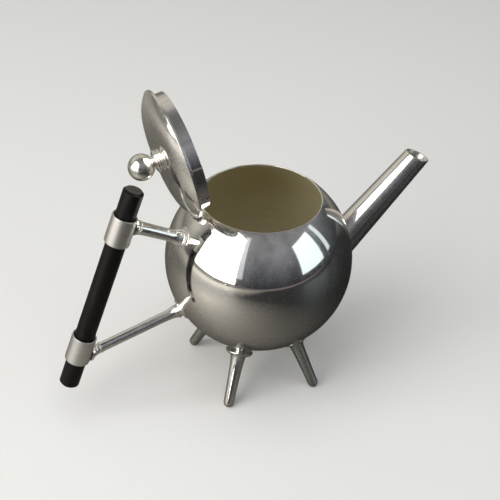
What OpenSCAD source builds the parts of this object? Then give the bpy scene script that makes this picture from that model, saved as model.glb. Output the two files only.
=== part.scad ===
// Silver teapot: a ball body on four turned legs, a straight spout, a rod handle
// held by two struts, and a hinged lid that stands open.
// Millimetres, +Z up. The origin lies on the table, under the middle of the ball.
// +X points to the spout and -X to the handle.

/* [Body] */
// Outer radius of the ball body
body_r = 55; // [54:0.5:56]
// Height of the ball's centre above the table
centre_h = 84.5; // [83:0.5:87]
// Thickness of the sheet silver
sheet = 0.8; // [0.6:0.1:0.9]
// Height of the mouth's edge above the ball's centre
mouth_h = 42.7; // [42.3:0.1:43.2]
// Diameter of each strainer hole behind the spout
strainer_d = 2.2; // [1.6:0.1:2.4]

/* [Spout] */
// Angle of the spout above the horizontal
spout_tilt = 47.5; // [44:0.5:50]
// Length of the spout's axis outside the ball
spout_len = 70.5; // [60:0.5:80]
// Outer radius of the spout where its axis leaves the ball
spout_root_r = 9.95; // [9:0.05:10.5]
// Outer radius of the spout at its tip
spout_tip_r = 7.25; // [6.5:0.05:8]
// Angle by which the tip's cut leans back from square
spout_cut = 18; // [10:1:25]

/* [Lid] */
// How far the lid's edge stands out past the mouth
lid_lap = 1.15; // [0.9:0.05:1.5]
// Height of the dome above the lid's seat
dome_h = 8.8; // [8:0.2:10]
// Depth of the bezel under the lid's seat
bezel_h = 6; // [4:0.5:7]
// Angle between the closed lid and the lid as it stands
lid_open = 103.5; // [95:0.5:106]
// Diameter of the finial's ball
finial_d = 14.4; // [12:0.4:15]
// Height of the ball's middle above the lid's seat
finial_h = 18.5; // [18.5:0.1:20]

/* [Hinge] */
// Distance from the lid's edge to the hinge's axis
hinge_reach = 5.45; // [5:0.05:6]
// Outer diameter of the hinge's knuckles
knuckle_d = 3.4; // [3.2:0.1:3.6]
// Length of each knuckle
knuckle_len = 3; // [2.6:0.1:3.4]
// Diameter of the hinge's pin
hinge_pin_d = 1.2; // [1:0.1:1.4]

/* [Handle] */
// Distance from the ball's axis to the middle of the handle's rod
rod_reach = 96.5; // [95:0.5:98]
// Height of the rod's middle above the table
rod_h = 86.4; // [85:0.2:88]
// Angle of the rod from upright
rod_tilt = 19.6; // [17:0.2:22]
// Length of the rod
rod_len = 133.2; // [128:0.4:142]
// Diameter of the rod
rod_d = 11.6; // [10.4:0.1:11.8]
// Outer diameter of the collars round the rod
collar_d = 14.4; // [14:0.1:15]
// Length of each collar
collar_len = 17; // [15:0.5:19]
// Distance from the rod's middle to each collar's middle
collar_out = 40.8; // [39:0.2:42]
// Angle of the upper strut above the horizontal
upper_tilt = 28.7; // [27:0.1:30]
// Angle of the lower strut below the horizontal
lower_tilt = 16.1; // [14:0.1:17]

/* [Legs] */
// Angle of each leg below the horizontal
leg_drop = 63; // [61:0.5:66]
// Angle of each front leg from the spout's side
front_leg_turn = 51; // [42:0.5:54]
// Angle of each rear leg from the handle's side
rear_leg_turn = 45.5; // [42:0.5:54]
// Diameter of the ball at each foot
foot_d = 6.2; // [5.4:0.1:7]
// Diameter of the flat that each foot stands on
foot_flat_d = 2.4; // [1.5:0.1:3]
// Diameter of the saucer at the top of each leg
leg_disc_d = 16.4; // [14:0.2:18]

/* [Hidden] */

$fn = 96;
far = 200;

// Mouth, lid and hinge
mouth_r = sqrt(body_r * body_r - mouth_h * mouth_h);
lid_r = mouth_r + lid_lap;
seat_gap = 0.3;
seat_h = mouth_h + seat_gap;
seat_t = 0.6;
bezel_r = lid_r - 3.2;
dome_fall = 4.5;
hinge_x = -(lid_r + hinge_reach);
hinge_h = seat_h - 0.9;
knuckle_gap = 0.3;
knuckle_play = 0.05;
lug_reach = norm([hinge_x, hinge_h]);
lug_lean = atan2(hinge_x, hinge_h);
knuckle_pitch = knuckle_len + knuckle_gap;
hinge_len = 3 * knuckle_len + 2 * knuckle_gap;

// Spout
spout_start_r = body_r - 1.65;
spout_start_drop = 2.9;
spout_inset = 20;
spout_taper = (spout_root_r - spout_tip_r) / spout_len;
strainer_drop = 3.9;
strainer_step = 5.4;

// Handle
rod_bevel = 1.2;
// How far above the rod's middle the pair of collars is centred
collar_rise = 0.9;
upper_collar_at = collar_out + collar_rise;
lower_collar_at = collar_rise - collar_out;
collar_r = collar_d / 2;
handle_pin_d = 1.6;
blind_pin_depth = 3;
lower_root_drop = 27.4;
flange_d = 12.9;
flange_t = 1.9;
flange_rim_h = 0.4;
ring_t = 1.4;
strut_at = body_r + flange_t + ring_t;
upper_root_d = 6.8;
upper_end_d = 7.4;
upper_ring_d = 9.8;
lower_root_d = 5.8;
lower_end_d = 5.8;
lower_ring_d = 8.5;
bead_t = 1.2;
bead_lip = 0.4;
saddle_t = 1;
upper_saddle_d = 9.4;
lower_saddle_d = 10;
// Distance from the ball's centre to the rod's axis, square to the rod
rod_off = rod_reach * cos(rod_tilt) + (rod_h - centre_h) * sin(rod_tilt);
// Height of the rod's middle above the ball's centre, measured along the rod
rod_lift = (rod_h - centre_h) * cos(rod_tilt) - rod_reach * sin(rod_tilt);
// Where each strut's axis meets its collar, along the strut and along the rod
upper_end = (rod_off - collar_r) / cos(upper_tilt - rod_tilt);
upper_saddle_at = upper_end * sin(upper_tilt - rod_tilt) - rod_lift;
lower_end = (rod_off - collar_r - body_r * cos(lower_root_drop + rod_tilt))
    / cos(lower_tilt + rod_tilt);
lower_saddle_at = -body_r * sin(lower_root_drop + rod_tilt)
    - lower_end * sin(lower_tilt + rod_tilt) - rod_lift;
upper_bead_at = upper_end - 3.4;
lower_bead_at = lower_end - 6.6;

// Finial
finial_ring_d = 12.4;
finial_ring_t = 2.4;
finial_neck_d = 6.8;
finial_neck_root_d = 8.8;

// Legs
leg_neck_d = 5.5;
leg_disc_at = body_r + 2.8;
leg_disc_edge = 0.3;
leg_disc_dish = 0.3;
leg_disc_bowl = 2.2;
leg_at = leg_disc_at + leg_disc_dish + leg_disc_edge + leg_disc_bowl;
leg_top_r = 4.9;
foot_h = sqrt(foot_d * foot_d - foot_flat_d * foot_flat_d) / 2;
foot_at = (centre_h - foot_h) / sin(leg_drop);
leg_taper = 0.03;
leg_flare_len = 3.5;
leg_flare = leg_top_r - foot_d / 2 - leg_taper * (foot_at - leg_at);

// Radius of a leg at a distance from the ball's centre
function leg_r(at) = foot_d / 2 + leg_taper * (foot_at - at)
    + leg_flare * exp(-(at - leg_at) / leg_flare_len);

// Height of the dome's upper face above the lid's seat
function dome_top(r) = seat_t + sheet + (dome_h - seat_t - sheet) * (1 - pow(r / lid_r, dome_fall));

// Points on an arc about a centre, from one angle to another
function arc(centre, r, from, to, steps) = [
    for (i = [0:steps]) let (a = from + (to - from) * i / steps)
        centre + r * [cos(a), sin(a)]
];

// Places children at the ball's centre
module from_centre() {
    translate([0, 0, centre_h]) children();
}

// Turns +Z to point out of the ball on the handle's side, at an angle above the horizontal
module towards_handle(rise) {
    rotate([0, rise - 90, 0]) children();
}

// The lower strut's own place: its axis along Z, from where it meets the ball
module lower_strut_place() {
    from_centre()
        translate(-body_r * [cos(lower_root_drop), 0, sin(lower_root_drop)])
        towards_handle(-lower_tilt) children();
}

// The rod's own place: its middle at the origin and its axis along Z, the ball towards +X
module rod_place() {
    translate([-rod_reach, 0, rod_h]) rotate([0, rod_tilt, 0]) children();
}

// The spout's own place: its axis along Z, from the ball's surface
module spout_place() {
    from_centre()
        translate(spout_start_r * [cos(spout_start_drop), 0, -sin(spout_start_drop)])
        rotate([0, 90 - spout_tilt, 0]) children();
}

// The lid's own place: its seat at z = 0 and its middle on Z, turned open about the hinge
module lid_place() {
    from_centre()
        translate([hinge_x, 0, hinge_h])
        rotate([0, -lid_open, 0])
        translate([-hinge_x, 0, seat_h - hinge_h]) children();
}

// A leg's own place: Z runs from the ball's centre to the foot, and X points up and out
module leg_place(turn) {
    from_centre() rotate([0, 0, turn + 180]) rotate([0, -90 - leg_drop, 0]) children();
}

// The outside of the ball, which cuts each piece that is soldered to it
module ball() {
    sphere(r = body_r, $fn = 180);
}

// A disc with a half-round edge that stands on z = 0
module rounded_disc(d, t) {
    rotate_extrude()
        polygon(concat([[0, 0]], arc([(d - t) / 2, t / 2], t / 2, -90, 90, 10), [[0, t]]));
}

module body_shell() {
    color("silver") from_centre() difference() {
        ball();
        sphere(r = body_r - sheet, $fn = 180);
        translate([0, 0, mouth_h]) cylinder(r = body_r, h = body_r);
        strainer_holes();
    }
}

// Rows of three and two holes in turn, over the area that the spout covers
module strainer_holes() {
    for (row = [-2:2]) {
        count = row % 2 == 0 ? 3 : 2;
        for (i = [0:count - 1])
            rotate([0, 0, (i - (count - 1) / 2) * strainer_step])
                rotate([0, 90 + strainer_drop + row * strainer_step, 0])
                translate([0, 0, body_r - 2 * sheet])
                cylinder(d = strainer_d, h = 3 * sheet, $fn = 24);
    }
}

// A cone that follows the spout's taper at a depth under its outer face, longer by extra at each end
module spout_cone(depth, extra) {
    past_tip = spout_tip_r + extra;
    translate([0, 0, -spout_inset - extra])
        cylinder(r1 = spout_root_r + spout_taper * (spout_inset + extra) - depth,
            r2 = spout_tip_r - spout_taper * past_tip - depth,
            h = spout_inset + extra + spout_len + past_tip);
}

module spout() {
    color("silver") difference() {
        spout_place() difference() {
            spout_cone(0, 0);
            spout_cone(sheet, 1);
            translate([0, 0, spout_len]) rotate([0, -spout_cut, 0])
                translate([-far / 2, -far / 2, 0]) cube(far);
        }
        from_centre() ball();
    }
}

// A flange soldered to the ball, with a cove that rises to the ring's foot
module strut_flange(rise, ring_d) {
    foot_r = (ring_d - ring_t) / 2;
    cove_r = flange_t - flange_rim_h;
    rim_r = flange_d / 2;
    color("silver") from_centre() difference() {
        towards_handle(rise) translate([0, 0, body_r])
            rotate_extrude() polygon(concat(
                [[0, -flange_t], [rim_r, -flange_t], [rim_r, 0], [rim_r - flange_rim_h, flange_rim_h]],
                arc([foot_r + cove_r, flange_t], cove_r, 270, 180, 6),
                [[0, flange_t]]));
        ball();
    }
}

module strut_ring(rise, ring_d) {
    color("silver") from_centre() towards_handle(rise)
        translate([0, 0, body_r + flange_t]) rounded_disc(ring_d, ring_t);
}

module upper_strut_flange() {
    strut_flange(upper_tilt, upper_ring_d);
}

module upper_strut_ring() {
    strut_ring(upper_tilt, upper_ring_d);
}

module lower_strut_flange() {
    strut_flange(-lower_root_drop, lower_ring_d);
}

module lower_strut_ring() {
    strut_ring(-lower_root_drop, lower_ring_d);
}

// Everything on the rod's side of a saddle's outer face
module saddle_side() {
    rod_place() translate([collar_r + saddle_t - far, -far / 2, -far / 2]) cube(far);
}

// A taper from one end's diameter to the other's, along Z
module taper(from, to, from_d, to_d) {
    translate([0, 0, from]) cylinder(d1 = from_d, d2 = to_d, h = to - from);
}

// A bead turned round a strut: a rounded disc bored for the strut
module bead(at, strut_d) {
    color("silver") difference() {
        translate([0, 0, at]) rounded_disc(strut_d + 2 * bead_lip, bead_t);
        translate([0, 0, at - 1]) cylinder(d = strut_d, h = bead_t + 2);
    }
}

module upper_strut() {
    color("silver") difference() {
        from_centre() towards_handle(upper_tilt) {
            taper(strut_at, upper_bead_at, upper_root_d, upper_end_d);
            taper(upper_bead_at, upper_end + collar_r, upper_end_d, upper_end_d);
        }
        saddle_side();
    }
}

module upper_strut_bead() {
    from_centre() towards_handle(upper_tilt) bead(upper_bead_at, upper_end_d);
}

module lower_strut() {
    color("silver") difference() {
        lower_strut_place() {
            taper(0, lower_bead_at, lower_root_d, lower_end_d);
            taper(lower_bead_at, lower_end + collar_d, lower_end_d, lower_end_d);
        }
        saddle_side();
        from_centre() towards_handle(-lower_root_drop)
            translate([-far / 2, -far / 2, strut_at - far]) cube(far);
    }
}

module lower_strut_bead() {
    lower_strut_place() bead(lower_bead_at, lower_end_d);
}

// A small disc between a strut and its collar, hollowed to sit on the collar
module saddle(at, d) {
    color("silver") rod_place() difference() {
        translate([0, 0, at]) rotate([0, 90, 0]) cylinder(d = d, h = collar_r + saddle_t);
        translate([0, 0, at - d]) cylinder(r = collar_r, h = 2 * d);
    }
}

module upper_saddle() {
    saddle(upper_saddle_at, upper_saddle_d);
}

module lower_saddle() {
    saddle(lower_saddle_at, lower_saddle_d);
}

// The hole for a handle pin, across the rod, from a place on Y to another
module handle_pin_bar(at, from, to) {
    translate([0, from, at]) rotate([-90, 0, 0]) cylinder(d = handle_pin_d, h = to - from, $fn = 32);
}

module upper_collar() {
    color("lightgray") rod_place() difference() {
        translate([0, 0, upper_collar_at - collar_len / 2]) collar_tube();
        handle_pin_bar(upper_collar_at, -collar_d, collar_d);
    }
}

module lower_collar() {
    color("lightgray") rod_place() difference() {
        translate([0, 0, lower_collar_at - collar_len / 2]) collar_tube();
        handle_pin_bar(lower_collar_at, 0, collar_d);
    }
}

module collar_tube() {
    difference() {
        cylinder(d = collar_d, h = collar_len);
        translate([0, 0, -1]) cylinder(d = collar_d - 2 * sheet, h = collar_len + 2);
    }
}

module upper_pin() {
    color("goldenrod") rod_place() handle_pin_bar(upper_collar_at, -collar_r, collar_r);
}

module lower_pin() {
    color("goldenrod") rod_place() handle_pin_bar(lower_collar_at, -blind_pin_depth, collar_r);
}

module handle_rod() {
    straight = rod_len - 2 * rod_bevel;
    color([0.09, 0.08, 0.08]) rod_place() difference() {
        union() {
            translate([0, 0, -straight / 2]) cylinder(d = rod_d, h = straight);
            for (end = [0, 180])
                rotate([end, 0, 0]) translate([0, 0, straight / 2])
                    cylinder(d1 = rod_d, d2 = rod_d - 2 * rod_bevel, h = rod_bevel);
        }
        handle_pin_bar(upper_collar_at, -collar_d, collar_d);
        handle_pin_bar(lower_collar_at, -blind_pin_depth, collar_d);
    }
}

module leg(turn) {
    flare_steps = 12;
    color("silver") difference() {
        leg_place(turn) {
            rotate_extrude() polygon(concat([[0, leg_at]],
                [for (i = [0:flare_steps])
                    let (at = leg_at + 4 * leg_flare_len * pow(i / flare_steps, 1.5))
                        [leg_r(at), at]],
                [[foot_d / 2, foot_at], [0, foot_at]]));
            translate([0, 0, foot_at]) sphere(d = foot_d);
        }
        translate([-far / 2, -far / 2, -far]) cube(far);
    }
}

module leg_front_left() {
    leg(front_leg_turn);
}

module leg_front_right() {
    leg(-front_leg_turn);
}

module leg_rear_left() {
    leg(180 - rear_leg_turn);
}

module leg_rear_right() {
    leg(rear_leg_turn - 180);
}

// A thin saucer over each leg, on a neck that is soldered to the ball
module leg_disc(turn) {
    neck_r = leg_neck_d / 2;
    edge_r = leg_disc_d / 2;
    edge_at = leg_disc_at + leg_disc_dish;
    color("silver") difference() {
        leg_place(turn) rotate_extrude() polygon([
            [0, body_r - 2], [neck_r, body_r - 2], [neck_r, leg_disc_at],
            [edge_r, edge_at], [edge_r, edge_at + leg_disc_edge],
            [leg_top_r, leg_at], [0, leg_at]]);
        from_centre() ball();
    }
}

module leg_disc_front_left() {
    leg_disc(front_leg_turn);
}

module leg_disc_front_right() {
    leg_disc(-front_leg_turn);
}

module leg_disc_rear_left() {
    leg_disc(180 - rear_leg_turn);
}

module leg_disc_rear_right() {
    leg_disc(rear_leg_turn - 180);
}

// A bar along Y, centred on the hinge's axis
module hinge_bar(d, len) {
    rotate([90, 0, 0]) cylinder(d = d, h = len, center = true, $fn = 48);
}

// The body's two knuckles, each on a web that runs down to the ball
module hinge_lugs() {
    color("silver") difference() {
        from_centre() translate([hinge_x, 0, hinge_h]) difference() {
            for (side = [-1, 1]) translate([0, side * knuckle_pitch, 0]) {
                hinge_bar(knuckle_d, knuckle_len);
                rotate([0, lug_lean, 0])
                    translate([-knuckle_d / 2, -knuckle_len / 2, body_r - lug_reach - 1])
                    cube([knuckle_d, knuckle_len, lug_reach - body_r + 1]);
            }
            hinge_bar(hinge_pin_d, far);
        }
        from_centre() ball();
    }
}

module hinge_pin() {
    color("silver") from_centre() translate([hinge_x, 0, hinge_h]) hinge_bar(hinge_pin_d, hinge_len);
}

// The lid's knuckle, with a flat arm that reaches the lid's edge
module lid_knuckle() {
    axis_drop = hinge_h - seat_h;
    color("silver") lid_place() difference() {
        union() {
            translate([hinge_x, 0, axis_drop]) hinge_bar(knuckle_d, knuckle_len);
            translate([hinge_x, -knuckle_len / 2, 0])
                cube([hinge_reach + 1, knuckle_len, knuckle_d / 2 + axis_drop]);
        }
        translate([hinge_x, 0, axis_drop]) hinge_bar(hinge_pin_d + 2 * knuckle_play, far);
        translate([0, 0, -1]) cylinder(r = lid_r, h = dome_h, $fn = 180);
    }
}

module lid_dome() {
    steps = 18;
    inner_r = lid_r - 1.2;
    color("silver") lid_place() rotate_extrude($fn = 180) polygon(concat(
        [for (i = [0:steps]) let (r = lid_r * i / steps) [r, dome_top(r)]],
        [[lid_r, seat_t], [inner_r, seat_t]],
        [for (i = [steps:-1:0]) let (r = inner_r * i / steps) [r, dome_top(r) - sheet]]));
}

// A ring of L section: the seat that rests on the mouth and the bezel that drops inside it
module lid_bezel() {
    inner_r = bezel_r - sheet;
    color("silver") lid_place() rotate_extrude($fn = 180) polygon([
        [inner_r, -bezel_h], [bezel_r, -bezel_h], [bezel_r, 0],
        [lid_r, 0], [lid_r, seat_t], [inner_r, seat_t]]);
}

module finial_ring() {
    color("silver") lid_place() translate([0, 0, dome_h]) rounded_disc(finial_ring_d, finial_ring_t);
}

module finial() {
    neck_at = dome_h + finial_ring_t;
    color("silver") lid_place() {
        taper(neck_at, neck_at + 1, finial_neck_root_d, finial_neck_d);
        taper(neck_at + 1, finial_h, finial_neck_d, finial_neck_d);
        translate([0, 0, finial_h]) sphere(d = finial_d);
    }
}

body_shell();
spout();
upper_strut_flange();
upper_strut_ring();
upper_strut();
upper_strut_bead();
upper_saddle();
lower_strut_flange();
lower_strut_ring();
lower_strut();
lower_strut_bead();
lower_saddle();
upper_collar();
lower_collar();
upper_pin();
lower_pin();
handle_rod();
leg_front_left();
leg_front_right();
leg_rear_left();
leg_rear_right();
leg_disc_front_left();
leg_disc_front_right();
leg_disc_rear_left();
leg_disc_rear_right();
hinge_lugs();
hinge_pin();
lid_dome();
lid_bezel();
lid_knuckle();
finial_ring();
finial();
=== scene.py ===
"""The silver teapot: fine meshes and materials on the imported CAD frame, on a pale floor in soft light."""

from math import atan, atan2, cos, degrees, exp, hypot, pi, radians, sin, sqrt, tan

import bmesh
import bpy
from mathutils import Matrix, Vector


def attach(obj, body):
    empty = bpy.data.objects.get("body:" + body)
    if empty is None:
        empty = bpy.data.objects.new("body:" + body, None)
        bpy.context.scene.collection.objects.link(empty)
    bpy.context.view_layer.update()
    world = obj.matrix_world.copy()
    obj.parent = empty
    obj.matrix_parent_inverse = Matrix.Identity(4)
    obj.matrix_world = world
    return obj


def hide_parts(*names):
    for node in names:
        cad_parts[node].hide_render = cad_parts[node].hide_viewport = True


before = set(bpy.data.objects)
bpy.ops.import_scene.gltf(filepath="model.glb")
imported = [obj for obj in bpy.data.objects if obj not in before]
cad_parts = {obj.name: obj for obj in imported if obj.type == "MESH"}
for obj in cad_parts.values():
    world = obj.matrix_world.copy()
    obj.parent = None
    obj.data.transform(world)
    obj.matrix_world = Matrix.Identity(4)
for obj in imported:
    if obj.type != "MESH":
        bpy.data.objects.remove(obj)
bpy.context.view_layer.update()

# ---------------------------------------------------------------- sizes, in millimetres, as in the CAD
MM = 0.001
BALL_R = 55.0
BALL_Z = 84.5
SHEET = 0.8
MOUTH_H = 42.7
STRAINER_D = 2.2
STRAINER_STEP = 5.4
STRAINER_DROP = 3.9

SPOUT_TILT = 47.5
SPOUT_LEN = 70.5
SPOUT_ROOT_R = 9.95
SPOUT_TIP_R = 7.25
SPOUT_CUT = 18.0
SPOUT_START_R = BALL_R - 1.65
SPOUT_START_DROP = 2.9
SPOUT_TAPER = (SPOUT_ROOT_R - SPOUT_TIP_R) / SPOUT_LEN

MOUTH_R = sqrt(BALL_R ** 2 - MOUTH_H ** 2)
LID_R = MOUTH_R + 1.15
SEAT_H = MOUTH_H + 0.3
SEAT_T = 0.6
DOME_H = 8.8
DOME_FALL = 4.5
DOME_BACK_R = LID_R - 1.2
BEZEL_R = LID_R - 3.2
BEZEL_H = 6.0
LID_OPEN = 103.5
FINIAL_D = 14.4
FINIAL_H = 18.5
FINIAL_NECK_R = 3.3
FINIAL_COVE_R = 1.15
FINIAL_RING_D = 12.4
FINIAL_RING_T = 2.4

HINGE_OUT = 5.45
HINGE_X = -(LID_R + HINGE_OUT)
HINGE_H = SEAT_H - 0.9
KNUCKLE_D = 3.4
KNUCKLE_LEN = 3.0
KNUCKLE_PITCH = 3.3
HINGE_PIN_D = 1.2
HINGE_PIN_LEN = 3 * KNUCKLE_LEN + 1.1

ROD_REACH = 96.5
ROD_H = 86.4
ROD_TILT = 19.6
ROD_LEN = 133.2
ROD_D = 11.6
ROD_BEVEL = 1.2
HANDLE_PIN_D = 1.6
LOWER_PIN_END = -3.0
COLLAR_R = 7.2
COLLAR_LEN = 17.0
COLLAR_OUT = 40.8
COLLAR_RISE = 0.9
UPPER_COLLAR_AT = COLLAR_RISE + COLLAR_OUT
LOWER_COLLAR_AT = COLLAR_RISE - COLLAR_OUT
UPPER_TILT = 28.7
LOWER_TILT = 16.1
LOWER_ROOT_DROP = 27.4
FLANGE_D = 12.9
FLANGE_T = 1.9
FLANGE_RIM_T = 0.45
UPPER_RING_D = 9.8
LOWER_RING_D = 8.5
RING_T = 1.4
UPPER_ROOT_D = 6.8
UPPER_END_D = 7.4
LOWER_STRUT_D = 5.8
BEAD_T = 1.2
BEAD_LIP = 0.4
STRUT_FLARE_LEN = 2.2
UPPER_SADDLE_D = 9.4
LOWER_SADDLE_D = 10.0

LEG_DROP = 63.0
FRONT_LEG_TURN = 51.0
REAR_LEG_TURN = 45.5
FOOT_D = 6.2
FOOT_FLAT_D = 2.4
LEG_TAPER = 0.03
LEG_FLARE_LEN = 3.5
LEG_DISC_D = 16.4
LEG_DISC_AT = BALL_R + 2.8
LEG_DISC_DISH = 0.3
LEG_DISC_EDGE = 0.3
LEG_DISC_BOWL = 2.2
LEG_AT = LEG_DISC_AT + LEG_DISC_DISH + LEG_DISC_EDGE + LEG_DISC_BOWL
LEG_TOP_R = 4.9
LEG_NECK_R = 2.75

# Edges sharper than this are drawn sharp, in degrees
CREASE = 50
# Points closer than this are one, in metres
WELD = 1e-7
# How strongly rows crowd towards the flared end of a strut or leg
CROWD = 1.8
# How far a strut, leg or finial starts inside the piece under it
SINK = 0.2


# ---------------------------------------------------------------- places
def turn(axis, angle):
    """A turn about an axis, in degrees, as a 4x4 matrix."""
    return Matrix.Rotation(radians(angle), 4, axis)


def shift(x, y, z):
    """A move, as a 4x4 matrix."""
    return Matrix.Translation((x, y, z))


BALL = shift(0, 0, BALL_Z)


def out_to_handle(rise):
    """+Z points out of the ball on the handle's side, at an angle above the horizontal."""
    return BALL @ turn("Y", rise - 90)


def leg_place(heading):
    """+Z runs from the ball's centre to the foot. The heading is from +X towards +Y, in degrees."""
    return BALL @ turn("Z", heading + 180) @ turn("Y", -90 - LEG_DROP)


ROD = shift(-ROD_REACH, 0, ROD_H) @ turn("Y", ROD_TILT)
SPOUT = (BALL
         @ shift(SPOUT_START_R * cos(radians(SPOUT_START_DROP)), 0,
                 -SPOUT_START_R * sin(radians(SPOUT_START_DROP)))
         @ turn("Y", 90 - SPOUT_TILT))
HINGE = BALL @ shift(HINGE_X, 0, HINGE_H)
LID = HINGE @ turn("Y", -LID_OPEN) @ shift(-HINGE_X, 0, SEAT_H - HINGE_H)
UPPER_STRUT = out_to_handle(UPPER_TILT)
LOWER_ROOT = out_to_handle(-LOWER_ROOT_DROP)
LOWER_STRUT = (BALL
               @ shift(-BALL_R * cos(radians(LOWER_ROOT_DROP)), 0, -BALL_R * sin(radians(LOWER_ROOT_DROP)))
               @ turn("Y", -LOWER_TILT - 90))

# The rod's line as the ball's centre sees it, and where each strut meets the collar on it
ROD_OFF = ROD_REACH * cos(radians(ROD_TILT)) + (ROD_H - BALL_Z) * sin(radians(ROD_TILT))
ROD_LIFT = (ROD_H - BALL_Z) * cos(radians(ROD_TILT)) - ROD_REACH * sin(radians(ROD_TILT))
UPPER_END = (ROD_OFF - COLLAR_R) / cos(radians(UPPER_TILT - ROD_TILT))
UPPER_SADDLE_AT = UPPER_END * sin(radians(UPPER_TILT - ROD_TILT)) - ROD_LIFT
LOWER_END = ((ROD_OFF - COLLAR_R - BALL_R * cos(radians(LOWER_ROOT_DROP + ROD_TILT)))
             / cos(radians(LOWER_TILT + ROD_TILT)))
LOWER_SADDLE_AT = (-BALL_R * sin(radians(LOWER_ROOT_DROP + ROD_TILT))
                   - LOWER_END * sin(radians(LOWER_TILT + ROD_TILT)) - ROD_LIFT)
UPPER_BEAD_AT = UPPER_END - 3.4
LOWER_BEAD_AT = LOWER_END - 6.6


# ---------------------------------------------------------------- outlines
def arc(centre, r, start, end, steps):
    """Points on an arc about a centre, from one angle to another, in degrees."""
    angles = [radians(start + (end - start) * i / steps) for i in range(steps + 1)]
    return [(centre[0] + r * cos(angle), centre[1] + r * sin(angle)) for angle in angles]


def rounded(corners, closed=False, steps=5):
    """An outline through corners (r, z, rounding). Each rounding is an arc between two support points."""
    most_of_edge = 0.45
    support = 1.25
    count = len(corners)
    outline = []
    for i, corner in enumerate(corners):
        x, z = corner[0], corner[1]
        if len(corner) < 3 or (not closed and i in (0, count - 1)):
            outline.append((x, z))
            continue
        here = Vector((x, z))
        before = Vector(corners[i - 1][:2]) - here
        after = Vector(corners[(i + 1) % count][:2]) - here
        half = before.angle(after) / 2
        reach = min(corner[2] / tan(half), most_of_edge * before.length, most_of_edge * after.length)
        radius = reach * tan(half)
        before.normalize()
        after.normalize()
        centre = here + (before + after).normalized() * (radius / sin(half))
        first = here + before * reach - centre
        last = here + after * reach - centre
        start = atan2(first.y, first.x)
        swing = (atan2(last.y, last.x) - start + pi) % (2 * pi) - pi
        outline.append(tuple(here + before * reach * support))
        outline += arc(centre, radius, degrees(start), degrees(start + swing), steps)
        outline.append(tuple(here + after * reach * support))
    return outline


def crowded(steps):
    """Shares from 0 to 1, closer together near 0."""
    return [(i / steps) ** CROWD for i in range(steps + 1)]


def on_ball(r):
    """The height of the ball's surface over its centre, at a distance from an axis through the centre."""
    return sqrt(BALL_R ** 2 - r ** 2)


# ---------------------------------------------------------------- meshes
def make(node, verts, faces, place, materials, face_slots=None, slot="polished_silver", body="root"):
    """A smooth-shaded piece from points in millimetres at a place. It stands for a CAD node."""
    name = f"{node}_fine"
    mesh = bpy.data.meshes.new(name)
    to_frame = Matrix.Scale(MM, 4) @ place
    mesh.from_pydata([to_frame @ Vector(v) for v in verts], [], faces)
    for material in materials:
        mesh.materials.append(material)
    if face_slots:
        mesh.polygons.foreach_set("material_index", face_slots)
    mesh.validate()
    tidy = bmesh.new()
    tidy.from_mesh(mesh)
    bmesh.ops.remove_doubles(tidy, verts=tidy.verts, dist=WELD)
    bmesh.ops.recalc_face_normals(tidy, faces=tidy.faces)
    tidy.to_mesh(mesh)
    tidy.free()
    mesh.shade_smooth()
    mesh.set_sharp_from_angle(angle=radians(CREASE))
    piece = bpy.data.objects.new(name, mesh)
    bpy.context.scene.collection.objects.link(piece)
    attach(piece, body)
    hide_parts(node)
    return piece


def revolved(outline, segments, closed=False):
    """Points and faces of an outline of (r, z) turned round Z. A point on the axis is one vertex."""
    on_axis = 1e-6
    verts, rings = [], []
    for r, z in outline:
        if r < on_axis:
            rings.append([len(verts)])
            verts.append((0, 0, z))
        else:
            rings.append(list(range(len(verts), len(verts) + segments)))
            angles = [2 * pi * k / segments for k in range(segments)]
            verts += [(r * cos(angle), r * sin(angle), z) for angle in angles]
    faces = []
    pairs = list(zip(rings, rings[1:])) + ([(rings[-1], rings[0])] if closed else [])
    for low, high in pairs:
        for k in range(segments):
            m = (k + 1) % segments
            quad = [low[k % len(low)], low[m % len(low)], high[m % len(high)], high[k % len(high)]]
            face = [v for i, v in enumerate(quad) if v not in quad[:i]]
            if len(face) > 2:
                faces.append(face)
    return verts, faces


def turned(node, outline, place, material, segments=96, closed=False, **more):
    """A turned piece of one material."""
    verts, faces = revolved(outline, segments, closed)
    return make(node, verts, faces, place, [material], **more)


def lofted(rings, segments):
    """Points and faces through circles, each with its centre, facing and radius. The ends are closed."""
    across = Vector((0, 1, 0))
    verts = [tuple(rings[0][0])]
    for centre, facing, r in rings:
        side = facing.cross(across).normalized()
        for k in range(segments):
            angle = 2 * pi * k / segments
            verts.append(tuple(centre + across * r * cos(angle) + side * r * sin(angle)))
    verts.append(tuple(rings[-1][0]))
    last = len(verts) - 1
    faces = []
    for k in range(segments):
        m = (k + 1) % segments
        faces.append([0, 1 + m, 1 + k])
        for i in range(len(rings) - 1):
            low = 1 + i * segments
            high = low + segments
            faces.append([low + k, low + m, high + m, high + k])
        faces.append([last, last - segments + k, last - segments + m])
    return verts, faces


def plate(outline, thick):
    """Points and faces of an outline of (x, z) with a thickness along Y, its middle at y = 0."""
    n = len(outline)
    verts = [(x, y, z) for y in (-thick / 2, thick / 2) for x, z in outline]
    faces = [list(range(n)), list(range(2 * n - 1, n - 1, -1))]
    faces += [[i, (i + 1) % n, n + (i + 1) % n, n + i] for i in range(n)]
    return verts, faces


def apply(piece, modifier):
    """Turns a modifier's result into the piece's mesh."""
    with bpy.context.temp_override(object=piece, active_object=piece, selected_objects=[piece]):
        bpy.ops.object.modifier_apply(modifier=modifier.name)


def bevelled(piece, width):
    """Rounds the piece's sharp edges. The width is in millimetres."""
    modifier = piece.modifiers.new("edges", "BEVEL")
    modifier.width = width * MM
    modifier.segments = 3
    modifier.limit_method = "ANGLE"
    modifier.angle_limit = radians(40)
    apply(piece, modifier)


# ---------------------------------------------------------------- materials
# The Mix node's colour sockets
MIX_A = 6
MIX_B = 7
MIX_RESULT = 2


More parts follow.
